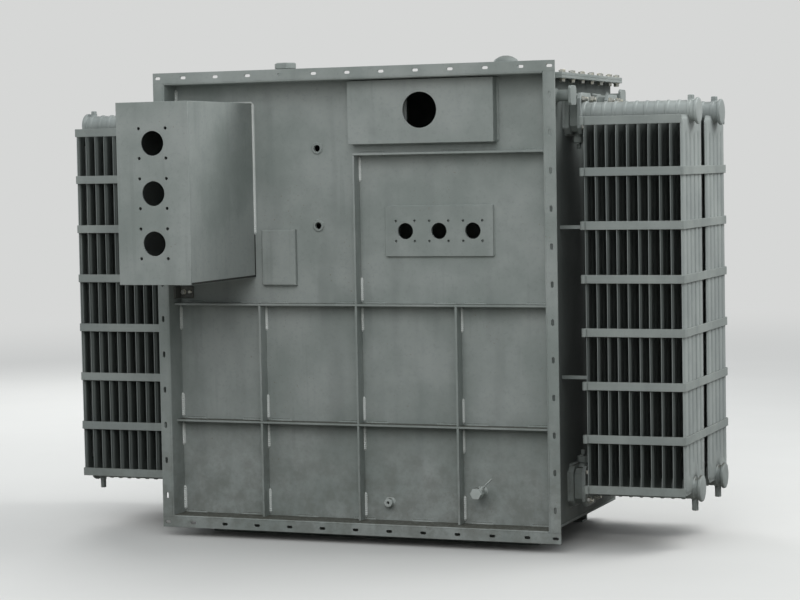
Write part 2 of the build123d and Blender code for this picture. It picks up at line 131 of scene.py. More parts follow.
def paint(name, base, thick, thin, rough, grain_mm=2.5, grain=0.25, dust_and_shade_top=0.8, rust=0.5):
    """Sprayed primer: clouds 330 mm wide between its thick and thin coats, runs, dust, painted shade and
    rust.

    Dust and painted shade darken it up to dust_and_shade_top in metres, and faces that look up are
    darker too, most of all low down. The grain is the blasted steel under the coat, and the long
    waves are the plate's own unevenness.
    """
    material, tree, shader, coords = blank_material(name)
    clouds = noise(tree, coords, 330, 4.0, 0.6)
    passes = noise(tree, coords, 90, 2.0, 0.5, (1.0, 1.0, 7.0))
    mottle = noise(tree, coords, 14, 3.0, 0.65)
    fine = noise(tree, coords, grain_mm, 2.0, 0.7)
    streaks = noise(tree, coords, 26, 1.0, 0.4, (1.0, 1.0, 22.0))
    runs = times(tree, span(tree, streaks, 0.62, 0.74, 0.0, 0.17),
                 span(tree, noise(tree, coords, 420), 0.45, 0.6))
    height = along_axis(tree, coords, "Z")
    # Darker towards the bottom: dust, and painted shade where less light reaches low down.
    low = times(tree, span(tree, height, 0.04, dust_and_shade_top, 0.6, 0.0),
                span(tree, noise(tree, coords, 60, 4.0, 0.65), 0.3, 0.7))
    facing_up = along_axis(tree, add(tree, "NewGeometry").outputs["Normal"], "Z")
    ledge = span(tree, facing_up, 0.6, 0.95)
    # Faces that look up are darker, most of all low down.
    upward_darkening = times(tree, ledge, span(tree, height, 0.3, 1.6, 0.95, 0.35))
    specks = times(tree, span(tree, noise(tree, coords, 9, 2.0, 0.5), 0.70, 0.76, 0.0, rust),
                   span(tree, noise(tree, coords, 240), 0.5, 0.62))
    colour = linear(base)
    for mask, tint in (
        (span(tree, clouds, 0.36, 0.66), thick),
        (span(tree, passes, 0.5, 0.75, 0.0, 0.3), thin),
        (span(tree, mottle, 0.5, 0.75, 0.0, 0.24), thin),
        (span(tree, fine, 0.45, 0.8, 0.0, 0.18), thick),
        (runs, thin),
        (low, DUST_AND_SHADE),
        (times(tree, upward_darkening, span(tree, mottle, 0.2, 0.6, 0.6, 1.0)), LEDGE_DARK),
        (specks, RUST),
    ):
        colour = blend(tree, mask, colour, linear(tint))
    normal = bumped(tree, noise(tree, coords, 260, 1.0), 4.0, 0.35)
    normal = bumped(tree, mottle, 0.6, 0.35, normal)
    fill(tree, shader, {
        "Base Color": colour,
        "Roughness": span(tree, clouds, 0.3, 0.7, rough + 0.06, rough - 0.06),
        "Normal": bumped(tree, fine, 0.5, grain, normal),
        "Specular IOR Level": 0.35,
    })
    return material


def corners(name):
    """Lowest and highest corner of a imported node, in millimetres."""
    low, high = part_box(name)
    return 1000 * np.array(low), 1000 * np.array(high)


def finish_node(name, material, rounded=True):
    """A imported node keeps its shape: its loose triangles are joined, its edges rounded and painted."""
    obj = nodes[name]
    obj.data.materials.clear()
    obj.data.materials.append(material)
    weld = obj.modifiers.new("join", "WELD")
    weld.merge_threshold = 0.00002
    if not rounded:
        return
    bevel = obj.modifiers.new("edges", "BEVEL")
    bevel.width = EDGE_ROUND / 1000
    bevel.segments = 2
    bevel.angle_limit = np.radians(35)


# The primer itself, matt and a little uneven.
primer = paint("matt_grey_primer_on_blasted_steel", "#89918D", "#9AA09D", "#757C79", 0.72)
# The side walls behind the radiators are painted darker: painted shade, where the radiators keep the
# light off them.
side_wall_shade_paint = paint("primer_with_painted_shade_behind_radiators", "#5C625F", "#666C69", "#505653", 0.75)
for name in ("front_wall_lower", "front_wall_upper", "front_wall_corner"):
    finish_node(name, primer, rounded=False)  # butt welds, ground flush
for name in ("back_wall", "base_plate", "cover", "rim_sides", "rim_back"):
    finish_node(name, primer)
finish_node("side_walls", side_wall_shade_paint)
wall_y = corners("front_wall_lower")[0][1]
back_y = corners("back_wall")[1][1]
half_w = corners("side_walls")[1][0]
cover_low, cover_high = corners("cover")

# Bolting frame: four steel angles round the front edge, welded to the walls with their flange
# turned out. Slots are punched through the flange for the bolts of a switchgear compartment.

SLOT_LONG = 26.0
SLOT_WIDE = 12.0
SLOT_STEPS = 10  # chords in each of a slot's round ends
SLOT_PITCH_X = 152.5
SLOT_PITCH_Z = 154.0
SLOTS_ACROSS = 11
SLOTS_UP = 12
ANGLE_T = 8.0
HEEL_R = 6.0  # mm, between a rolled angle's web and its flange
FRAME_ROUND = 0.9  # mm, of the flange's cut edges


def merged(points, faces):
    """The same skin with doubled points made one, and the faces that this closes up left out."""
    _, first, kept = np.unique(np.round(points, 3), axis=0, return_index=True, return_inverse=True)
    kept = kept.reshape(-1)
    out = []
    for face in faces:
        ring = [kept[k] for k in face]
        ring = [p for k, p in enumerate(ring) if p != ring[k - 1]]
        if len(ring) > 2:
            out.append(ring)
    return points[first], out


def together(skins):
    """Several skins, each (points, faces) in millimetres, as one."""
    points, faces, start = [], [], 0
    for skin_points, skin_faces in skins:
        points.append(skin_points)
        faces += [[start + k for k in face] for face in skin_faces]
        start += len(skin_points)
    return np.concatenate(points), faces


def piece(name, skins, material, *replaced, slot="grey_primer"):
    """One object made of closed skins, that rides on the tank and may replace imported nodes."""
    points, faces = together([merged(*skin) for skin in skins])
    mesh = bpy.data.meshes.new(name)
    mesh.from_pydata((points / 1000).tolist(), [], faces)
    shape = bmesh.new()
    shape.from_mesh(mesh)
    bmesh.ops.recalc_face_normals(shape, faces=shape.faces)
    shape.to_mesh(mesh)
    shape.free()
    mesh.polygons.foreach_set("use_smooth", [True] * len(mesh.polygons))
    mesh.set_sharp_from_angle(angle=np.radians(32))
    mesh.materials.append(material)
    obj = bpy.data.objects.new(name, mesh)
    bpy.context.scene.collection.objects.link(obj)
    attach(obj, "root")
    if replaced:
        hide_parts(*replaced)
    return obj


def ring_faces(rows, columns):
    """Quads between neighbouring rows of points, each row closed on itself."""
    r, c = np.arange(rows - 1)[:, None] * columns, np.arange(columns)[None, :]
    after = (c + 1) % columns
    quads = np.stack([r + c, r + after, r + after + columns, r + c + columns], -1)
    return quads.reshape(-1, 4).tolist()


def loft(loops):
    """Closed skin through loops of equally many points, with a face over the first and the last."""
    loops = np.asarray(loops, float)
    rows, columns, _ = loops.shape
    last = (rows - 1) * columns
    ends = [list(range(columns)), list(range(last, last + columns))]
    return loops.reshape(-1, 3), ring_faces(rows, columns) + ends


def plate(low, high, bevel=EDGE_ROUND):
    """Bevelled plate between two corners: an outline with clipped corners, drawn in at both faces."""
    loops = []
    for z, inset in ((low[2], bevel), (low[2] + bevel, 0), (high[2] - bevel, 0), (high[2], bevel)):
        x0, x1, y0, y1 = low[0] + inset, high[0] - inset, low[1] + inset, high[1] - inset
        around = [(x0 + bevel, y0), (x1 - bevel, y0), (x1, y0 + bevel), (x1, y1 - bevel),
                  (x1 - bevel, y1), (x0 + bevel, y1), (x0, y1 - bevel), (x0, y0 + bevel)]
        loops.append([(x, y, z) for x, y in around])
    return loft(loops)


def drilled(xs, zs, holes, front, back, steps):
    """Plate ruled into cells by the lines xs and zs, with round-ended holes in some of them.

    A hole (centre x, centre z, radius, stretch) is two half circles, each set off from the centre
    by the stretch. Their points at equal angles are joined to equal steps up its cell's sides.
    """
    skins = []
    for j, (z0, z1) in enumerate(zip(zs, zs[1:])):
        up = np.linspace(z0, z1, steps[j] + 1)
        turn = np.linspace(-np.pi / 2, np.pi / 2, steps[j] + 1)
        for i, (x0, x1) in enumerate(zip(xs, xs[1:])):
            right = np.stack([np.full_like(up, x1), up], 1)
            left = np.stack([np.full_like(up, x0), up], 1)[::-1]
            outer = np.concatenate([right, left])
            if (i, j) in holes:
                cx, cz, radius, stretch = holes[i, j]
                arc = radius * np.stack([np.cos(turn), np.sin(turn)], 1)
                inner = np.concatenate([(cx + stretch, cz) + arc, (cx - stretch, cz) - arc])
                rings = [(outer, front), (inner, front), (inner, back), (outer, back)]
                loops = [np.insert(ring, 1, y, axis=1) for ring, y in rings]
                faces = ring_faces(4, len(outer))
                skins.append((np.concatenate(loops), faces))
            else:
                k = np.arange(steps[j])
                quads = np.stack([k, k + 1, 2 * len(up) - 2 - k, 2 * len(up) - 1 - k], 1)
                for y in (front, back):
                    skins.append((np.insert(outer, 1, y, axis=1), quads.tolist()))
    zz = np.concatenate([np.linspace(z0, z1, n + 1) for z0, z1, n in zip(zs, zs[1:], steps)])
    edges = [np.stack([np.full_like(zz, x), zz], 1) for x in (xs[0], xs[-1])]
    edges += [np.stack([xs, np.full(len(xs), z)], 1) for z in (zs[0], zs[-1])]
    for edge in edges:
        both = np.concatenate([np.insert(edge, 1, front, axis=1), np.insert(edge, 1, back, axis=1)])
        k = np.arange(len(edge) - 1)
        skins.append((both, np.stack([k, k + 1, k + 1 + len(edge), k + len(edge)], 1).tolist()))
    return together(skins)


def row_cells(places, low, high):
    """Lines half-way between the places of a row of holes, with its two ends."""
    places = np.asarray(places, float)
    return np.concatenate([[low], (places[1:] + places[:-1]) / 2, [high]])


def flange_strip(places, low, high, side0, side1, upright):
    """Strip of the frame's flange with a slot at each place along it."""
    middle = (side0 + side1) / 2
    stretch = (SLOT_LONG - SLOT_WIDE) / 2
    holes = {(k, 0): (place, middle, SLOT_WIDE / 2, stretch) for k, place in enumerate(places)}
    points, faces = drilled(row_cells(places, low, high), [side0, side1], holes,
                            frame_y, frame_y + ANGLE_T, [SLOT_STEPS])
    return (points[:, [2, 1, 0]] if upright else points), faces


def web(inward, start, end):
    """An angle's web along a run from start to end, points on its outer face at y 0.

    Its section is a rectangle from the frame's face to the wall, with a quarter circle, the rolled
    heel, in place of the inner front edge.
    """
    turn = np.linspace(0, np.pi / 2, 5)
    deep = np.concatenate([[0], ANGLE_T - HEEL_R + HEEL_R * np.sin(turn), [ANGLE_T, 0]])
    y = np.concatenate([[frame_y], frame_y + HEEL_R * (1 - np.cos(turn)), [wall_y, wall_y]])
    section = deep[:, None] * inward + y[:, None] * Y
    return loft([start + section, end + section])


low_l, low_h = corners("frame_bottom")
frame_top = corners("frame_top")[1][2]
frame_y = low_l[1]
frame_half = low_h[0]
flange_w = frame_half - half_w
inside = half_w - ANGLE_T
frame_floor = low_l[2] + flange_w
frame_roof = frame_top - flange_w
frame_mid = (low_l[2] + frame_top) / 2
across = SLOT_PITCH_X * (np.arange(SLOTS_ACROSS) - (SLOTS_ACROSS - 1) / 2)
across = np.concatenate([[-half_w - flange_w / 2], across, [half_w + flange_w / 2]])
upward = frame_mid + SLOT_PITCH_Z * (np.arange(SLOTS_UP) - (SLOTS_UP - 1) / 2)
frame_skins = [
    flange_strip(across, -frame_half, frame_half, low_l[2], frame_floor, False),
    flange_strip(across, -frame_half, frame_half, frame_roof, frame_top, False),
    flange_strip(upward, frame_floor, frame_roof, half_w, frame_half, True),
    flange_strip(upward, frame_floor, frame_roof, -frame_half, -half_w, True),
]
for side in (-1, 1):
    at = side * half_w * X
    frame_skins.append(web(-side * X, at + frame_floor * Z, at + frame_roof * Z))
for side, z in ((1, frame_floor), (-1, frame_roof)):
    frame_skins.append(web(side * Z, z * Z - inside * X, z * Z + inside * X))


def soften(obj, width):
    """Rounds the edges where faces meet at more than 50 degrees."""
    bevel = obj.modifiers.new("edges", "BEVEL")
    bevel.width = width / 1000
    bevel.angle_limit = np.radians(50)


soften(piece("bolting_frame", frame_skins, primer,
             "frame_bottom", "frame_top", "left_frame", "right_frame"), FRAME_ROUND)

# Stiffeners and cable box: flat bars welded on edge across the walls, and a box of bent plate on
# the front wall. The bores in the box's face take bushings, each held by four bolts.

HV_BORE = 50.5
HV_PITCH = 205.0
HV_BOLT_OFF = 61.0
HV_BOLT_R = 6.5
HV_ROUND = 1.2
BORE_STEPS = 24  # chords in each half of a bore
HOLE_STEPS = 8


def bushing_plate(low, high, bores_x, bores_z, bore_r, bolt_off, bolt_r):
    """Plate with a bore at each crossing of the places across and up, and four holes round it.

    The cells of the bolt holes begin half-way between the bore and a bolt hole.
    """
    inner = (bore_r + bolt_off - bolt_r) / 2
    cuts = np.array([inner - 2 * bolt_off, -inner, inner, 2 * bolt_off - inner])
    xs = np.concatenate([[low[0]], *[x + cuts for x in bores_x], [high[0]]])
    zs = np.concatenate([[low[2]], *[z + cuts for z in bores_z], [high[2]]])
    steps = [1] + [HOLE_STEPS, BORE_STEPS, HOLE_STEPS, 1] * len(bores_z)
    holes = {}
    for k, x in enumerate(bores_x):
        for m, z in enumerate(bores_z):
            holes[4 * k + 2, 4 * m + 2] = (x, z, bore_r, 0)
            for i, sx in ((1, -1), (3, 1)):
                for j, sz in ((1, -1), (3, 1)):
                    holes[4 * k + i, 4 * m + j] = (x + sx * bolt_off, z + sz * bolt_off, bolt_r, 0)
    return drilled(xs, zs, holes, low[1], high[1], steps)


for name in ("front_rails", "front_posts", "back_rails", "back_posts", "cable_box_sides",
             "cable_box_ends", "cover_pad", "port_rim", "port_plate", "skid_front", "skid_back",
             "stays", "tank_flanges"):
    finish_node(name, primer)
box_low, box_high = corners("cable_box_front")
box_x, _, box_z = (box_low + box_high) / 2
hv_skin = bushing_plate(box_low, box_high, [box_x], box_z + HV_PITCH * np.arange(-1, 2),
                        HV_BORE, HV_BOLT_OFF, HV_BOLT_R)
soften(piece("high_voltage_plate", [hv_skin], primer, "cable_box_front"), HV_ROUND)

# Painted shade at the cable box: thin near-black strips a little above its bottom plate and up the lower
# part of its inner root, where the fillet weld ends.

SHADE_STRIP_T = 8.0
SHADE_STRIP_UP = 1.5
SHADE_STRIP_OUT = 1.5
SHADE_STRIP_LAP = 3.0  # mm of the upright strip under the box's side
SHADE_STRIP_DEEP = 7.0  # mm of it in front of the wall
BOX_BEAD_END = 1310.0  # mm above the floor, where the weld at the inner root ends
SUNK = 1.0  # mm that a piece goes into the one behind it


def two_toned(name, tones, blobs, upper, rough, pits, metallic=0.0):
    """Finish whose two tones and roughness change over in blobs, with fine pits in it.

    Blobs are the noise's size in mm, detail and roughness. Pits are their size and depth in mm and
    their strength.
    """
    material, tree, shader, coords = blank_material(name)
    cloud = noise(tree, coords, *blobs)
    size, depth, strength = pits
    fill(tree, shader, {
        "Base Color": blend(tree, span(tree, cloud, 0.4, upper), *map(linear, tones)),
        "Roughness": span(tree, cloud, 0.3, 0.7, *rough),
        "Normal": bumped(tree, noise(tree, coords, size), depth, strength),
        "Metallic": metallic,
    })
    return material


# Near-black with some dust on it, for the painted shade.
shade_black = two_toned("black_for_painted_shade", ("#1B1D1C", "#35372F"), (12, 4.0, 0.6), 0.75, (0.6, 0.85),
                   (1.5, 0.3, 0.3))
strip_z = box_low[2] + SHADE_STRIP_UP
strip_top = strip_z + SHADE_STRIP_T
strip_x0, strip_x1 = box_low[0] - SHADE_STRIP_OUT, box_high[0] + SHADE_STRIP_OUT
shade_strips = [
    plate((strip_x0, box_low[1] + SUNK, strip_z), (strip_x1, wall_y - SUNK, strip_top), 1),
    plate((box_high[0] - SHADE_STRIP_LAP, wall_y - SHADE_STRIP_DEEP, strip_top),
          (strip_x1, wall_y + SUNK, BOX_BEAD_END), 1),
]
piece("cable_box_painted_shade", shade_strips, shade_black)

# Low-voltage plate: 12 mm plate with three bores for bushings, welded round its edge over openings
# in the wall. Each bore has four tapped holes for its bushing's clamps.

LV_BORE = 34.0
LV_PITCH = 150.0
LV_BOLT_OFF = 42.3
LV_BOLT_R = 5.5
LV_ROUND = 0.8

lv_low, lv_high = corners("lv_plate")
lv_x, _, lv_z = (lv_low + lv_high) / 2
lv_skin = bushing_plate(lv_low, lv_high, lv_x + LV_PITCH * np.arange(-1, 2), [lv_z],
                        LV_BORE, LV_BOLT_OFF, LV_BOLT_R)
soften(piece("low_voltage_plate", [lv_skin], primer, "lv_plate"), LV_ROUND)

# Small fittings on the front wall: two threaded gauge sockets, a brass-bodied ball valve for
# draining, painted over, and a round earthing boss. Each is welded or screwed in.

GAUGE_HOLE = 14.0
GAUGE_PLACES = ((-188.0, 1345.0), (-188.0, 1674.0))
DRAIN_R = 25.0
LEVER_LONG = 92.0


def frame_of(axis):
    """Two unit directions across an axis, the first level where the axis allows it."""
    level = X if abs(axis[2]) > 0.9 else np.cross(Z, axis)
    u = level - level.dot(axis) * axis
    u = u / np.linalg.norm(u)
    return u, np.cross(axis, u)


def stacked(outline, stations, centre, axis):
    """Closed skin through copies of a flat outline across the axis, one at each (distance, scale)."""
    axis = np.asarray(axis, float) / np.linalg.norm(axis)
    flat = np.asarray(outline) @ np.stack(frame_of(axis))
    return loft([np.asarray(centre) + d * axis + s * flat for d, s in stations])


def circle(steps):
    turn = np.linspace(0, 2 * np.pi, steps, endpoint=False)
    return np.stack([np.cos(turn), np.sin(turn)], 1)


def turned(stations, centre, axis, steps=32):
    """Solid of revolution through (distance, radius) stations."""
    return stacked(circle(steps), stations, centre, axis)


def hollow(stations, centre, axis, steps=32):
    """Ring of revolution: the stations go round its section and come back to the first."""
    points, faces = turned(list(stations) + [stations[0]], centre, axis, steps)
    return points, faces[:-2]


def clipped(half_u, half_v, clip):
    """Rectangle outline with its corners clipped."""
    u, v, c = half_u, half_v, clip
    return [(u, c - v), (u, v - c), (u - c, v), (c - u, v),
            (-u, v - c), (-u, c - v), (c - u, -v), (u - c, -v)]


HEXAGON = circle(6) / np.cos(np.pi / 6)
# Cast iron, whose coarse skin shows through its paint.
casting = paint("painted_iron_casting", "#7E8582", "#8C938F", "#6B716E", 0.66, 3.5, 0.6, 0.4, 0.6)
gauge_skins = []
for x, z in GAUGE_PLACES:
    ring = [(-4, GAUGE_HOLE), (-4, GAUGE_HOLE + 14), (1, GAUGE_HOLE + 13), (4, GAUGE_HOLE + 9),
            (6, GAUGE_HOLE + 8), (6, GAUGE_HOLE + 1)]
    gauge_skins.append(hollow(ring, (x, wall_y, z), -Y))
piece("gauge_sockets", gauge_skins, primer)

drain_low, drain_high = corners("drain_valve")
drain = (drain_low + drain_high) / 2
drain[1:] = wall_y, drain_low[2] + DRAIN_R
far = wall_y - drain_low[1]
lever_dir = np.array([0.72, 0, 0.69])
drain_skins = [
    turned([(0, DRAIN_R), (2, 24), (8, 18.5), (10, 17), (far - 42, 17)], drain, -Y),
    stacked(HEXAGON, [(far - 48, 20), (far - 46, 22), (far - 37, 22), (far - 36, 20)], drain, -Y),
    turned([(far - 37, 19), (far - 33, 23), (far - 24, DRAIN_R), (far - 15, 23), (far - 11, 19)],
           drain, -Y),
    stacked(HEXAGON, [(far - 12, 20), (far - 11, 22), (far - 2, 22), (far, 20)], drain, -Y),
    turned([(18, 10), (30, 10), (31, 8), (40, 8), (41, 7)], drain - Y * (far - 24), lever_dir),
    stacked(clipped(9, 2.2, 1.2), [(36, 0.9), (38, 1), (LEVER_LONG - 3, 1), (LEVER_LONG, 0.8)],
            drain - Y * (far - 20), lever_dir),
]
# Primer painted paler on the small fittings: a painted highlight.
sprayed = paint("primer_with_painted_highlight_on_fittings", "#A8AFAB", "#B8BFBB", "#8F9692", 0.6, 2.0, 0.4, 0.3, 0.4)
piece("drain_ball_valve", drain_skins, sprayed, "drain_valve", slot="valve_casting")

earth_low, earth_high = corners("earth_boss")
earth_r = (earth_high[0] - earth_low[0]) / 2
earth = (earth_low + earth_high) / 2
earth[1] = wall_y
deep = earth_high[1] - earth_low[1]
boss = [(-2, earth_r + 7), (1, earth_r + 6), (6, earth_r + 1), (7, earth_r), (deep - 2, earth_r),
        (deep, earth_r - 2), (deep, 7.5), (deep - 1.5, 6), (deep - 20, 6)]
# The earthing boss has the same paler primer, a painted highlight.
piece("earthing_boss", [turned(boss, earth, -Y, 36)], sprayed, "earth_boss")

# Radiator panels: pairs of 1.2 mm steel sheets, pressed with five oil channels, seam-welded round
# their edge and dip-painted. Each opens into a header pipe at both ends through a saddle notch.

PANELS = 10
FLUTES = 5
SEAM_T = 3.0
SEAM_W = 10.0
FLUTE_GAP = 12.0
SLOPE = 7.0  # mm, width of a channel's flank
PANEL_T = 11.0
PANEL_CORNER = 26.0
HEADER_R = 44.5
SEAM_END = 6.0  # mm, the seam across a panel's end
END_SLOPE = 12.0
CHAMBER = 66.0  # mm, the cross channel at each end that feeds the five
CHAMBER_SLOPE = 14.0
BOW = 2.4  # mm, most that a panel bows sideways between the straps
SHADE_DEPTH = 34.0  # mm, how far the painted shade reaches in between the panels
EDGE_SHADE = 0.4  # share of the painted shade that still shows at the panels' edges
# Colour of the painted shade between the panels.
GAP_SHADE = "#4E5451"

pan_low, pan_high = corners("right_panels_front")
back_low, back_high = corners("right_panels_back")
panel_w = pan_high[1] - pan_low[1]
panel_z0, panel_z1 = pan_low[2], pan_high[2]
last_x = pan_high[0] - PANEL_T / 2
pitch = (last_x - pan_low[0] - PANEL_T / 2) / (PANELS - 1)
panel_xs = last_x - pitch * np.arange(PANELS)[::-1]
stack_ys = [(pan_low[1] + pan_high[1]) / 2, (back_low[1] + back_high[1]) / 2]
head_low, head_high = corners("right_headers_front")
flange_half = (head_high[1] - head_low[1]) / 2
header_zs = (head_low[2] + flange_half, head_high[2] - flange_half)


def ease(value):
    """Smooth step: 0 below 0, 1 above 1, 3t^2 - 2t^3 between."""
    t = np.clip(value, 0, 1)
    return t * t * (3 - 2 * t)


def pressed_panel():
    """One panel at x 0: half its thickness at (height, width) is the seam's plus the channels'.

    Its ends give way to the header's circle and to corners clipped at 45 degrees. A point's depth
    is the larger of its channel's, eased in from the channel's sides, and the cross chamber's, eased
    in from the panel's end and out again where the channels part.
    """
    half = panel_w / 2
    flute = (panel_w - 2 * SEAM_W - (FLUTES - 1) * FLUTE_GAP) / FLUTES
    middles = (flute + FLUTE_GAP) * (np.arange(FLUTES) - (FLUTES - 1) / 2)
    offsets = np.array([0, flute / 2 - SLOPE, flute / 2 - SLOPE / 2, flute / 2])
    ys = np.concatenate([(middles[:, None] + s * offsets).ravel() for s in (-1, 1)])
    # More columns where the saddle's circle and the clipped corners bend the panel's ends.
    more = np.array([10, 37, 41.5, HEADER_R, HEADER_R + 0.6, half - 25.5, half])
    ys = np.unique(np.concatenate([ys, -more, more]))
    circle_z = np.sqrt(np.clip(HEADER_R ** 2 - ys ** 2, 0, None))
    circle_z = np.where(np.abs(ys) <= HEADER_R, circle_z, -np.inf)
    clip = np.clip(np.abs(ys) - half + PANEL_CORNER, 0, None)
    rise = clip + np.clip(circle_z + header_zs[0] - panel_z0, 0, None)
    fall = clip + np.clip(circle_z + panel_z1 - header_zs[1], 0, None)
    # Rows lie close together where the seam, the chamber and the channels begin.
    inward = np.array([0, SEAM_END, 10, 14, 18, 40, CHAMBER - 6, CHAMBER, CHAMBER + CHAMBER_SLOPE / 2,
                       CHAMBER + CHAMBER_SLOPE, 110])
    tall = panel_z1 - panel_z0
    low_t = inward / tall
    rows = np.concatenate([low_t, np.linspace(0.14, 0.86, 7), 1 - low_t[::-1]])[:, None]
    z = panel_z0 + rise + rows * (tall - rise - fall)
    from_end = np.minimum(rows, 1 - rows) * (tall - rise - fall)
    channel = np.max([ease((flute / 2 - np.abs(ys - m)) / SLOPE) for m in middles], axis=0)
    side = ease((half - SEAM_W - np.abs(ys)) / SLOPE)
    start = ease((from_end - SEAM_END) / END_SLOPE)
    chamber = start * side * (1 - ease((from_end - CHAMBER) / CHAMBER_SLOPE))
    depth = np.maximum(channel * start, chamber)
    x = SEAM_T / 2 + (PANEL_T - SEAM_T) / 2 * depth
    y = np.broadcast_to(ys, z.shape)
    loops = np.concatenate([np.stack([x, y, z], 2), np.stack([-x, y, z], 2)[:, ::-1]], axis=1)
    count, around, _ = loops.shape
    faces = ring_faces(count, around)
    k = np.arange(len(ys) - 1)
    cap = np.stack([k, k + 1, around - 2 - k, around - 1 - k], 1)
    faces += cap.tolist() + (cap + (count - 1) * around).tolist()
    return loops.reshape(-1, 3), faces


def mirrored(skins):
    """The same skins on the tank's other side."""
    return [(points * (-1, 1, 1), faces) for points, faces in skins]


def on_each_stack(made, part, material, skins_at):
    """Objects for the four stacks, each from the skins of a right stack whose middle is at y."""
    for place, y in zip(("front", "back"), stack_ys):
        for side in ("right", "left"):
            skins = skins_at(y)
            name = f"{side}_{part}_{place}"
            piece(f"{made}_{name}", mirrored(skins) if side == "left" else skins, material, name)


def paint_gap_shade(material):
    """Painted shade deep inside the stacks, where little light gets in between the panels.

    The mask lies on what is nearer to the tank than the last panel's middle. It is 1 from
    SHADE_DEPTH behind a stack's edges and eases off to EDGE_SHADE at them.
    """
    tree = material.node_tree
    base = tree.nodes["Principled BSDF"].inputs["Base Color"]
    coords = tree.nodes["Texture Coordinate"].outputs["Object"]
    middle, off = sum(stack_ys) / 2000, (stack_ys[1] - stack_ys[0]) / 2000
    y = calc(tree, "ABSOLUTE", calc(tree, "SUBTRACT", along_axis(tree, coords, "Y"), middle))
    y = calc(tree, "ABSOLUTE", calc(tree, "SUBTRACT", y, off))
    half = panel_w / 2000
    deep = span(tree, y, half - SHADE_DEPTH / 1000, half, 1.0, EDGE_SHADE)
    x = calc(tree, "ABSOLUTE", along_axis(tree, coords, "X"))
    inner = calc(tree, "LESS_THAN", x, (last_x - BOW) / 1000)
    now = base.links[0].from_socket
    tree.links.new(blend(tree, times(tree, deep, inner), now, linear(GAP_SHADE)), base)


# Dip paint, smoother and thicker than the sprayed primer.
dipped = paint("dip_paint_with_painted_gap_shade", "#939A98", "#A2A9A6", "#848B88", 0.62, 4.0, 0.12, 0.5, 0.35)
# Painted shade between the panels, laid into the dip paint's colour.
paint_gap_shade(dipped)
panel_points, panel_faces = pressed_panel()
draw = np.random.default_rng(7)
arch = np.sin(np.pi * (panel_points[:, 2] - panel_z0) / (panel_z1 - panel_z0))


def bowed_stack(y):
    """Panels of a stack, each bowed sideways a little in an arch between its ends."""
    skins = []
    for x in panel_xs:
        bow = draw.uniform(-BOW, BOW)
        shift = np.stack([x + bow * arch, np.full_like(arch, y), 0 * arch], 1)
        skins.append((panel_points + shift, panel_faces))
    return skins


on_each_stack("pressed", "panels", dipped, bowed_stack)

# Headers: steel pipes along the top and bottom of each stack, with a saddle weld at every panel, a
# square flange at the valve and a dished cap welded on beyond the last panel.

SADDLE_HALF = 8.5
SADDLE_UP = 3.0
FLANGE_T = 16.0
CORNER_CLIP = 24.0
CAP_T = 14.0
PLUG_LONG = {-1: 48.0, 1: 22.0}  # mm, the drain plug under a lower header, the vent on an upper one

header_x0, cap_x = head_low[0], head_high[0] - CAP_T


def squared(half):
    """Square outline with clipped corners, as a share of half its side."""
    return np.array(clipped(half, half, CORNER_CLIP)) / half


def header(y, z, up):
    """Pipe turned with its saddle welds and cap, square flange, and a hexagon plug at its far end."""
    stations = [(0, 40), (0.1, HEADER_R), (FLANGE_T + 1, HEADER_R + 6), (FLANGE_T + 6, HEADER_R)]
    saddle = ((-SADDLE_HALF, 0), (0.5 - SADDLE_HALF / 2, SADDLE_UP), (SADDLE_HALF / 2, SADDLE_UP),
              (SADDLE_HALF, 0))
    for x in panel_xs - header_x0:
        stations += [(x + off, HEADER_R + rise) for off, rise in saddle]
    cap = cap_x - header_x0
    stations += [(cap - 5, HEADER_R), (cap - 1, HEADER_R + 5), (cap, 53), (cap + 2, 55), (cap + 9, 55),
                 (cap + 12, 53), (cap + 13, 49), (cap + CAP_T, 42), (cap + CAP_T, 8)]
    edge = 0.985 * flange_half
    flange = [(0, edge), (1.3, flange_half), (FLANGE_T - 1.3, flange_half), (FLANGE_T, edge)]
    plug_end = HEADER_R + PLUG_LONG[up]
    at = np.array([header_x0, y, z])
    plug = np.array([cap_x - 22, y, z])
    return [
        turned(stations, at, X, 40),
        stacked(squared(flange_half), flange, at, X),
        turned([(30, 17), (HEADER_R - 1, 17), (HEADER_R + 3, 14), (HEADER_R + 10, 14)],
               plug, up * Z, 20),
        stacked(HEXAGON, [(HEADER_R + 9, 11), (HEADER_R + 10, 12), (plug_end - 2, 12), (plug_end, 10)],
                plug, up * Z),
    ]


# The pipes' coat, sprayed after the stacks were joined.
piping = paint("sprayed_header_pipe", "#939A98", "#A2A9A6", "#848B88", 0.62, 3.0, 0.2, 0.5, 0.4)
on_each_stack("welded", "headers", piping,
              lambda y: header(y, header_zs[0], -1) + header(y, header_zs[1], 1))

# Butterfly valves between the tank's pads and the headers: square iron bodies, clamped by the
# flange bolts, with a spindle gland, a locking cap and a pointer that shows the disc's place.

VALVE_HALF = 75.0
PAD_T = 24.0
VALVE_T = 36.0
SPINDLE_UP = 148.0


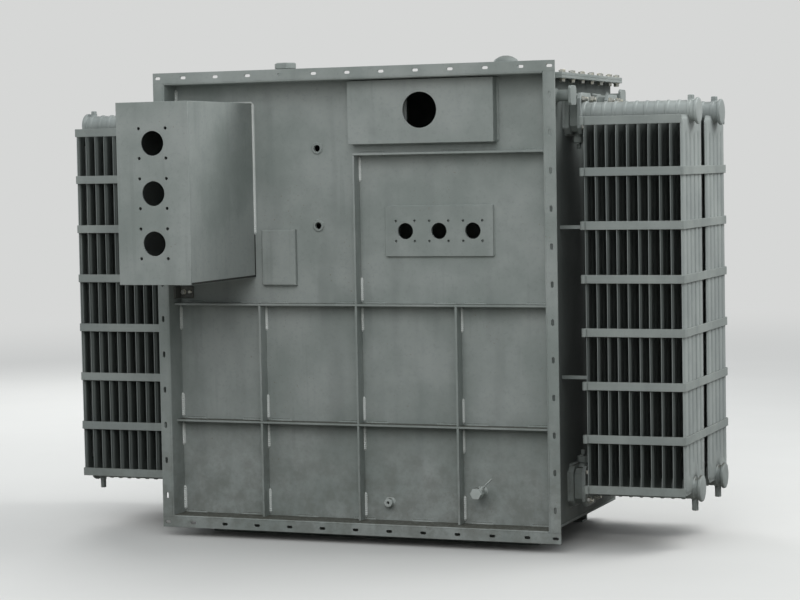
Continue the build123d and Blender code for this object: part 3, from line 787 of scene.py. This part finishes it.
def valve(y, z, way):
    """Body with clipped corners, and its neck, cap, spindle and pointer along the spindle's way."""
    at = np.array([half_w + PAD_T, y, z])
    middle = at + X * VALVE_T / 2
    up = Z * way
    pointer = middle + up * (SPINDLE_UP - 22)
    edge = VALVE_HALF - 4
    body = [(0.5, edge), (2.5, VALVE_HALF), (VALVE_T - 2.5, VALVE_HALF), (VALVE_T - 0.5, edge)]
    return [
        stacked(squared(VALVE_HALF), body, at, X),
        turned([(VALVE_HALF - 6, 24), (VALVE_HALF, 21), (VALVE_HALF + 10, 17), (VALVE_HALF + 22, 17)],
               middle, up, 24),
        stacked(HEXAGON, [(VALVE_HALF + 20, 21), (VALVE_HALF + 22, 23), (VALVE_HALF + 44, 23),
                          (VALVE_HALF + 47, 20)], middle, up),
        turned([(VALVE_HALF + 44, 9), (SPINDLE_UP - 2, 9), (SPINDLE_UP, 7)], middle, up, 16),
        stacked(clipped(9, 3, 1), [(-26, 0.7), (-22, 1), (20, 1), (24, 0.7)], pointer, Y),
    ]


valve_skins = []
for y in stack_ys:
    valve_skins += valve(y, header_zs[0], 1) + valve(y, header_zs[1], -1)
piece("butterfly_valves", valve_skins + mirrored(valve_skins), casting, "valves", slot="valve_casting")

# Straps: flat steel bars, 35 by 6 mm, bent round each pair of stacks and welded to the panels'
# edges. Their ends are rolled into eyes beside the tank.

STRAP_H = 35.0
STRAP_T = 6.0
STRAP_PITCH = 220.0
STRAP_END = 210.0  # mm, from the lowest strap to the next
STRAP_LEVELS = 8
EYE_R = 8.0
EYE_OFF = 14.0  # mm, from the first panel to an eye's end
BEND_R = 9.0

strap_y0 = corners("straps_front")[0][1] + STRAP_T / 2
strap_y1 = corners("straps_back")[1][1] - STRAP_T / 2
face_x = last_x + PANEL_T / 2 + STRAP_T / 2
eye_x = panel_xs[0] - EYE_OFF
middle_y = (strap_y0 + strap_y1) / 2


def arc(centre, radius, start, end, steps):
    """Points of an arc in plan, from one angle to another in degrees."""
    turn = np.radians(np.linspace(start, end, steps))
    return np.asarray(centre) + radius * np.stack([np.cos(turn), np.sin(turn)], 1)


def banded(path, z):
    """Flat bar on edge along a path in plan: a rectangle with clipped corners across each point."""
    ahead = np.gradient(path, axis=0)
    ahead /= np.linalg.norm(ahead, axis=1)[:, None]
    side = np.stack([ahead[:, 1], -ahead[:, 0]], 1)
    section = np.array(clipped(STRAP_T / 2, STRAP_H / 2, 1.2))
    xy = path[:, None] + section[None, :, :1] * side[:, None]
    height = np.broadcast_to(z + section[:, 1], xy.shape[:2])
    return loft(np.concatenate([xy, height[..., None]], 2))


strap_front = np.concatenate([
    arc((eye_x + EYE_R, strap_y0 - EYE_R), EYE_R, 340, 90, 14),
    [(panel_xs[k], strap_y0) for k in (0, 3, 6, 9)],
])
corner = arc((face_x - BEND_R, strap_y0 + BEND_R), BEND_R, -90, 0, 7)
half_way = np.concatenate([strap_front[:-1], corner, [(face_x, middle_y - 200), (face_x, middle_y)]])
other_half = half_way[::-1][1:] * (1, -1) + (0, 2 * middle_y)
around = np.concatenate([half_way, other_half])
short = np.concatenate([strap_front, [(last_x + PANEL_T / 2, strap_y0)]])
inner_levels = panel_z0 + STRAP_H / 2 + STRAP_END + STRAP_PITCH * np.arange(STRAP_LEVELS - 2)
strap_skins = [banded(around, z) for z in inner_levels]
for z in (panel_z0 + STRAP_H / 2, panel_z1 - STRAP_H / 2):
    strap_skins += [banded(short, z), banded(short * (1, -1) + (0, 2 * middle_y), z)]
# Bars primed before they were bent and welded on.
strapping = paint("primed_flat_bar", "#8B928F", "#9AA19D", "#7D8481", 0.66, 3.0, 0.2, 0.5, 0.3)
piece("radiator_straps", strap_skins + mirrored(strap_skins), strapping,
      "straps_front", "straps_back", "straps_outer")

# Welds: fillets of a covered electrode, laid in stitches along the stiffeners and all round the
# plates. Those on the uprights and at the cable box are painted pale, a painted highlight on their
# ripples.

LEG = 8.0
EDGE_LEG = 10.0  # of the stitches in the wall's two upright corners
LV_LEG = 5.0
RIPPLE = 8.0
TAPER = 7.0  # mm, along which a bead thickens at its ends
STITCH = 105.0
STITCH_EVERY = 260.0  # mm, along the longest runs
FLOOR_EVERY = 215.0  # mm, along the bottom angle
END_GAP = 8.0  # mm, between a rail's stitches and the uprights
PAD_GAP = 20.0  # mm, from a pad's weld to its corner
BAR_T = 9.0
MIDDLE_RAIL_Z = 1010.0
WALL_TALL = 1860.0
RIM_DROP = 14.0  # mm, from the cover to the back uprights


def bead(start, end, out_a, out_b, leg=LEG):
    """Fillet from start to end in the corner between two directions, thickened at every ripple.

    Its section is a corner just inside the metal and a convex face from one leg's end to the
    other's, scaled along the run by 1 + 0.11 cos(2 pi s / ripple) and tapered at both ends.
    """
    start, end = np.asarray(start, float), np.asarray(end, float)
    long = np.linalg.norm(end - start)
    along = np.linspace(0, long, max(4, int(long / RIPPLE * 2)) + 1)
    swell = 1 + 0.11 * np.cos(2 * np.pi * along / RIPPLE)
    swell *= 0.35 + 0.65 * ease(np.minimum(along, long - along) / TAPER)
    section = leg * np.array([(-0.15, -0.15), (1, -0.15), (0.8, 0.42), (0.42, 0.8), (-0.15, 1)])
    flat = section[:, :1] * out_a + section[:, 1:] * out_b
    run = start + along[:, None] * (end - start) / long
    return loft(run[:, None] + swell[:, None, None] * flat)


def stitched(start, end, out_a, out_b, every=None, leg=LEG):
    """Stitches at both ends of a run, or at even steps along it."""
    start, end = np.asarray(start, float), np.asarray(end, float)
    long = np.linalg.norm(end - start)
    ahead = (end - start) / long
    count = 2 if every is None else max(2, int(long / every))
    places = np.linspace(6, long - 6 - STITCH, count)
    return [bead(start + a * ahead, start + (a + STITCH) * ahead, out_a, out_b, leg) for a in places]


def along_bar(start, end, across, out, every=None):
    """Stitches along both sides of a bar whose middle runs from start to end."""
    skins = []
    for side in (-1, 1):
        off = side * half_t * across
        skins += stitched(start + off, end + off, side * across, out, every)
    return skins


def framed(low, high, leg=LEG):
    """Continuous fillet round a plate that stands on the front wall."""
    (x0, _, z0), (x1, _, z1) = low, high
    y = wall_y
    return [
        bead((x0, y, z0), (x0, y, z1), -X, -Y, leg), bead((x1, y, z0), (x1, y, z1), X, -Y, leg),
        bead((x0, y, z0), (x1, y, z0), -Z, -Y, leg), bead((x0, y, z1), (x1, y, z1), Z, -Y, leg),
    ]


half_t = BAR_T / 2
post_low, post_high = corners("front_posts")
rail_low, rail_high = corners("front_rails")
port_low, port_high = corners("port_plate")
post_xs = (post_low[0] + half_t, 0.0, post_high[0] - half_t)
rail_zs = (rail_low[2] + half_t, MIDDLE_RAIL_Z, rail_high[2] - half_t)
levels = (frame_floor + ANGLE_T, rail_zs[0], rail_zs[1])
highlit_weld_skins, painted = [], []  # welds painted pale as a painted highlight, and those painted over like the plates
for x in post_xs:
    for z0, z1 in zip(levels, levels[1:]):
        highlit_weld_skins += along_bar((x, wall_y, z0 + half_t), (x, wall_y, z1 - half_t), X, -Y)
highlit_weld_skins += along_bar((0, wall_y, rail_zs[1] + half_t), (0, wall_y, rail_zs[2] - half_t), X, -Y)
stops = (-inside, *post_xs, inside)
for z in rail_zs[:2]:
    for x0, x1 in zip(stops, stops[1:]):
        painted += along_bar((x0 + END_GAP, wall_y, z), (x1 - END_GAP, wall_y, z), Z, -Y)
painted += along_bar((END_GAP, wall_y, rail_zs[2]), (inside - END_GAP, wall_y, rail_zs[2]), Z, -Y,
                     STITCH_EVERY)
for side in (-1, 1):
    x = side * inside
    for z0, z1 in zip(levels, levels[1:]):
        highlit_weld_skins += stitched((x, wall_y, z0 + half_t), (x, wall_y, z1 - half_t), -side * X, -Y,
                               leg=EDGE_LEG)
    highlit_weld_skins += stitched((x, wall_y, rail_zs[1] + 80), (x, wall_y, frame_roof - 20), -side * X, -Y,
                           STITCH_EVERY, EDGE_LEG)
painted += stitched((-inside, wall_y, levels[0]), (inside, wall_y, levels[0]), Z, -Y, FLOOR_EVERY)
box_root, _, _, box_top = framed(box_low, box_high)
root_end = (box_high[0], wall_y, BOX_BEAD_END)
highlit_weld_skins += [bead(root_end, (box_high[0], wall_y, box_high[2]), X, -Y), box_root, box_top]
painted += framed(lv_low, lv_high, LV_LEG) + framed(port_low, port_high)
pad_skins = []
reach = flange_half - PAD_GAP
for y in stack_ys:
    for z in header_zs:
        for out, ahead in ((-Z, Y), (Z, Y), (-Y, Z), (Y, Z)):
            edge = np.array([half_w, y, z]) + flange_half * out
            pad_skins.append(bead(edge - reach * ahead, edge + reach * ahead, X, out))
painted += pad_skins + mirrored(pad_skins)
stops = (-half_w, *post_xs, half_w)
for z in rail_zs:
    for x0, x1 in zip(stops, stops[1:]):
        painted += along_bar((x0 + END_GAP, back_y, z), (x1 - END_GAP, back_y, z), Z, Y)
heights = (cover_low[2] - WALL_TALL, *rail_zs, cover_low[2] - RIM_DROP)
for x in post_xs:
    for z0, z1 in zip(heights, heights[1:]):
        painted += along_bar((x, back_y, z0 + half_t), (x, back_y, z1 - half_t), X, Y)
# Pale primer on those welds: a painted highlight on their ripples.
highlit_bead_paint = paint("weld_primer_with_painted_highlight", "#D2D7D3", "#DFE3E0", "#B4BAB6", 0.45, 2.0, 0.2, 0.1, 0.5)
piece("fillet_welds", highlit_weld_skins, highlit_bead_paint)
piece("painted_fillet_welds", painted, primer)

# Lifting bollards: solid round bars with end plates, welded to the side walls near the corners. A
# sling is laid over each.

PLATE_T = 12.0
BOLLARD_R = 24.0

bollard_low, bollard_high = corners("lifting_bollards")
bollard_z = (bollard_low[2] + bollard_high[2]) / 2
plate_half = (bollard_high[2] - bollard_low[2]) / 2
long = bollard_high[0] - PLATE_T - half_w
bar = [(-1, BOLLARD_R + 9), (1, BOLLARD_R + 8), (5, BOLLARD_R + 3), (9, BOLLARD_R),
       (long - 6, BOLLARD_R), (long - 1, BOLLARD_R + 5), (long + 1, BOLLARD_R + 5)]
end_plate = [(long, plate_half - 1.5), (long + 1.5, plate_half),
             (long + PLATE_T - 1.5, plate_half), (long + PLATE_T, plate_half - 1.5)]
bollard_skins = []
for y in (bollard_low[1] + plate_half, bollard_high[1] - plate_half):
    at = np.array([half_w, y, bollard_z])
    bollard_skins += [turned(bar, at, X, 32), stacked(clipped(1, 1, 0.25), end_plate, at, X)]
bollard_skins += mirrored(bollard_skins)
piece("sling_bollards", bollard_skins, primer, "lifting_bollards")

# Cover fittings: a filler pipe with a hexagon screw cap, and a pressure relief valve under a sheet
# hood on its bolted flange.


def standing(name):
    """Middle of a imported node's underside, and its size."""
    low, high = corners(name)
    foot = (low + high) / 2
    foot[2] = low[2]
    return foot, high - low


fill_at, fill_size = standing("filler_neck")
cap_half, fill_top = fill_size[1] / 2, fill_size[2]
filler = [
    turned([(-1, 46), (1, 45), (6, 39), (9, 38), (fill_top - 26, 38)], fill_at, Z, 36),
    stacked(HEXAGON, [(fill_top - 26, cap_half - 2), (fill_top - 24, cap_half),
                      (fill_top - 4, cap_half), (fill_top, cap_half - 5)], fill_at, Z),
]
piece("filler_pipe", filler, primer, "filler_neck")
relief_at, relief_size = standing("relief_valve")
hood_r, hood_top = relief_size[0] / 2, relief_size[2]
relief = [
    turned([(0, hood_r - 2), (2, hood_r), (12, hood_r), (14, hood_r - 2), (14, 44), (30, 42)],
           relief_at, Z, 40),
    turned([(28, hood_r - 8), (30, hood_r - 6), (hood_top - 30, hood_r - 6),
            (hood_top - 16, hood_r - 14), (hood_top - 5, hood_r - 32), (hood_top, 12)],
           relief_at, Z, 40),
]
piece("relief_hood", relief, casting, "relief_valve", slot="valve_casting")

# Earthing bracket: a bare, oxidised angle cleat in the corner under the cable box, with two
# zinc-plated bolts for the earth strap.

BRACKET_X = (-854.0, -788.0)
BRACKET_Z = (1034.0, 1086.0)
BRACKET_T = 8.0
BRACKET_LEG = 64.0

# Bare mill scale, brownish where it begins to rust.
oxide = two_toned("oxidised_mill_scale", ("#4C4E4B", "#63625B"), (18, 4.0, 0.65), 0.7, (0.5, 0.75),
                  (3.0, 0.5, 0.4))
bracket_y = wall_y - BRACKET_T
cleat = [
    plate((BRACKET_X[0], bracket_y, BRACKET_Z[0]), (BRACKET_X[1], wall_y + SUNK, BRACKET_Z[1])),
    plate((BRACKET_X[0] - SUNK, wall_y - BRACKET_LEG, BRACKET_Z[0]),
          (BRACKET_X[0] + BRACKET_T, bracket_y + SUNK, BRACKET_Z[1])),
]
piece("earthing_cleat", cleat, oxide)

# Bolts: zinc-plated M16 hexagon bolts with washers along the cover's edge, nuts on the studs of the
# valve flanges, two bolts in the earthing cleat, and small ones round the relief valve's flange.

BOLT_HALF = 12.0
HEAD_UP = 10.0
NUT_UP = 13.0
STUD = [(14, 8), (24, 8), (26, 6.5)]
COVER_PITCH = 138.0
COVER_FIRST = 70.0  # mm, from the front wall to the first bolt of a side
COVER_BACK = 14  # bolts along the back
RIM_T = 12.0
FLANGE_BOLT_OFF = 58.0  # mm, from the pipe's axis along Y and Z
CLEAT_BOLTS = ((-834.0, 9.5, 8), (-803.0, 6.5, 5))  # place along X, half width, height of the head
RELIEF_BOLTS = 6
RELIEF_BOLT = 5.0  # mm, half width and height of the head


def hex_bolt(at, way, half, height):
    """Washer and hexagon head, standing on a face along its way out."""
    turn = HEXAGON @ np.array([[0.97, 0.24], [-0.24, 0.97]])
    return [
        turned([(0, half * 1.28), (2.5, half * 1.28), (3, half * 1.2)], at, way, 14),
        stacked(turn, [(2.8, half), (2.8 + 0.8 * height, half), (2.8 + height, 0.86 * half)], at, way),
    ]


rim_mid = (half_w + cover_high[0]) / 2
rim_under = cover_low[2] - RIM_T
sides = np.arange(wall_y + COVER_FIRST, back_y, COVER_PITCH)
cover_back = (back_y + cover_high[1]) / 2
cover_places = [(s * rim_mid, y) for s in (-1, 1) for y in sides]
cover_places += [(x, cover_back) for x in np.linspace(-rim_mid, rim_mid, COVER_BACK)]
bolt_skins = []
for x, y in cover_places:
    bolt_skins += hex_bolt((x, y, cover_high[2]), Z, BOLT_HALF, HEAD_UP)
    bolt_skins += hex_bolt((x, y, rim_under), -Z, BOLT_HALF, NUT_UP)
nut_skins = []
for y in stack_ys:
    for z in header_zs:
        for sy in (-1, 1):
            for sz in (-1, 1):
                at = (header_x0 + FLANGE_T, y + sy * FLANGE_BOLT_OFF, z + sz * FLANGE_BOLT_OFF)
                nut_skins += hex_bolt(at, X, BOLT_HALF, NUT_UP)
                nut_skins.append(turned(STUD, at, X, 12))
for x, half, height in CLEAT_BOLTS:
    bolt_skins += hex_bolt((x, bracket_y, sum(BRACKET_Z) / 2), -Y, half, height)
for k in range(RELIEF_BOLTS):
    turn = 2 * np.pi / RELIEF_BOLTS * (k + 0.5)
    at = relief_at + np.array([(hood_r - 9) * np.cos(turn), (hood_r - 9) * np.sin(turn), 14])
    bolt_skins += hex_bolt(at, Z, RELIEF_BOLT, RELIEF_BOLT)
bolt_skins += nut_skins + mirrored(nut_skins)
# Zinc plating with a cloudy, slightly yellow passivation.
zinc = two_toned("zinc_plated_steel", ("#9A9C98", "#B3B0A2"), (16, 3.0, 0.6), 0.65, (0.36, 0.55),
                 (2.0, 0.3, 0.2), 0.85)
piece("hexagon_bolts", bolt_skins, zinc)

# Floor, light and camera: a plain pale floor, a soft sky and three wide lamps, and the photograph's
# viewpoint, turned to face the object with a longer lens.

CAMERA_AT = np.array([3.6916, -9.1108, 1.6067])
PHOTO_YAW, PHOTO_PITCH, PHOTO_ROLL = np.radians([30.864, 1.7404, -0.7606])
AIM = np.array([0.12, 0.0, 1.02])
LENS = 103.0
BACKDROP = "#D6D7D6"
FLOOR_RINGS = (0.01, 2, 6, 14, 30, 60)  # metres
FADE = (4.0, 15.0)  # metres from the middle, where the floor turns into the backdrop


def seen_directly(tree):
    """1 for camera, glossy and transmission rays, 0 for the diffuse ones that light the object."""
    ray = add(tree, "LightPath").outputs
    seen = calc(tree, "MAXIMUM", ray["Is Camera Ray"], ray["Is Glossy Ray"])
    return calc(tree, "MAXIMUM", seen, ray["Is Transmission Ray"])


floor_mesh = bpy.data.meshes.new("floor")
rings = np.concatenate([r * circle(64) for r in FLOOR_RINGS])
rings = np.insert(rings, 2, 0.0, axis=1)
floor_mesh.from_pydata(rings.tolist(), [], ring_faces(len(FLOOR_RINGS), 64))
floor = bpy.data.objects.new("floor", floor_mesh)
bpy.context.scene.collection.objects.link(floor)
# Pale concrete to the camera, but it lights the object from below no more than a dark floor would.
concrete, tree, shader, coords = blank_material("pale_floor")
patches = noise(tree, coords, 900, 4.0, 0.6)
pale = blend(tree, patches, linear("#CBCBC8"), linear("#D2D2CF"))
shown = blend(tree, seen_directly(tree), linear("#504E48"), pale)
fill(tree, shader, {"Base Color": shown, "Roughness": 0.8})
far = add(tree, "VectorMath", {0: coords}, operation="LENGTH").outputs["Value"]
glow = add(tree, "Emission", {"Color": linear(BACKDROP)})
fade = add(tree, "MixShader", {0: span(tree, far, *FADE), 1: shader.outputs[0], 2: glow.outputs[0]})
fill(tree, tree.nodes["Material Output"], {"Surface": fade.outputs[0]})
floor_mesh.materials.append(concrete)

world = bpy.data.worlds.new("studio")
world.use_nodes = True
bpy.context.scene.world = world
sky = world.node_tree
aloft = along_axis(sky, add(sky, "TexCoord").outputs["Generated"], "Z")
strength = span(sky, aloft, 0.0, 0.7, 0.1, 0.9)
soft = add(sky, "Background", {"Color": linear("#F2F6FA"), "Strength": strength})
plain = add(sky, "Background", {"Color": linear(BACKDROP), "Strength": 1.0})
either = add(sky, "MixShader", {0: seen_directly(sky), 1: soft.outputs[0], 2: plain.outputs[0]})
fill(sky, sky.nodes["World Output"], {"Surface": either.outputs[0]})


def put(obj, at, right, up, back):
    """Puts a lamp or the camera at a place, turned by its three directions."""
    turn = Matrix(np.stack([right, up, back], 1).tolist()).to_4x4()
    obj.matrix_world = Matrix.Translation(at) @ turn
    bpy.context.scene.collection.objects.link(obj)


def lamp(name, at, aim, size, watts):
    """Square soft box at a place, facing a point."""
    light = bpy.data.lights.new(name, "AREA")
    light.size = size
    light.energy = watts
    away = np.asarray(at, float) - np.asarray(aim, float)
    away /= np.linalg.norm(away)
    put(bpy.data.objects.new(name, light), at, *frame_of(away), away)


lamp("front_light", (0.9, -5.9, 4.5), (0.2, -0.4, 1.6), 5.0, 176)
lamp("side_light", (4.2, 1.8, 5.4), (1.4, 0.3, 1.5), 3.0, 205)
lamp("back_light", (-4.6, 6.0, 4.6), (-0.3, 0.6, 1.2), 4.0, 210)

ahead = np.array([-np.sin(PHOTO_YAW) * np.cos(PHOTO_PITCH), np.cos(PHOTO_YAW) * np.cos(PHOTO_PITCH),
                  np.sin(PHOTO_PITCH)])
level = np.array([np.cos(PHOTO_YAW), np.sin(PHOTO_YAW), 0.0])
photo_down = np.cross(ahead, level)
photo_right = np.cos(PHOTO_ROLL) * level - np.sin(PHOTO_ROLL) * photo_down
photo_up = -np.cross(ahead, photo_right)
look = (AIM - CAMERA_AT) / np.linalg.norm(AIM - CAMERA_AT)
right = np.cross(look, photo_up)
right /= np.linalg.norm(right)
up = np.cross(right, look)
camera = bpy.data.objects.new("camera", bpy.data.cameras.new("camera"))
camera.data.lens = LENS
put(camera, CAMERA_AT, right, up, -look)
bpy.context.scene.camera = camera
bpy.context.scene.view_settings.view_transform = "Standard"
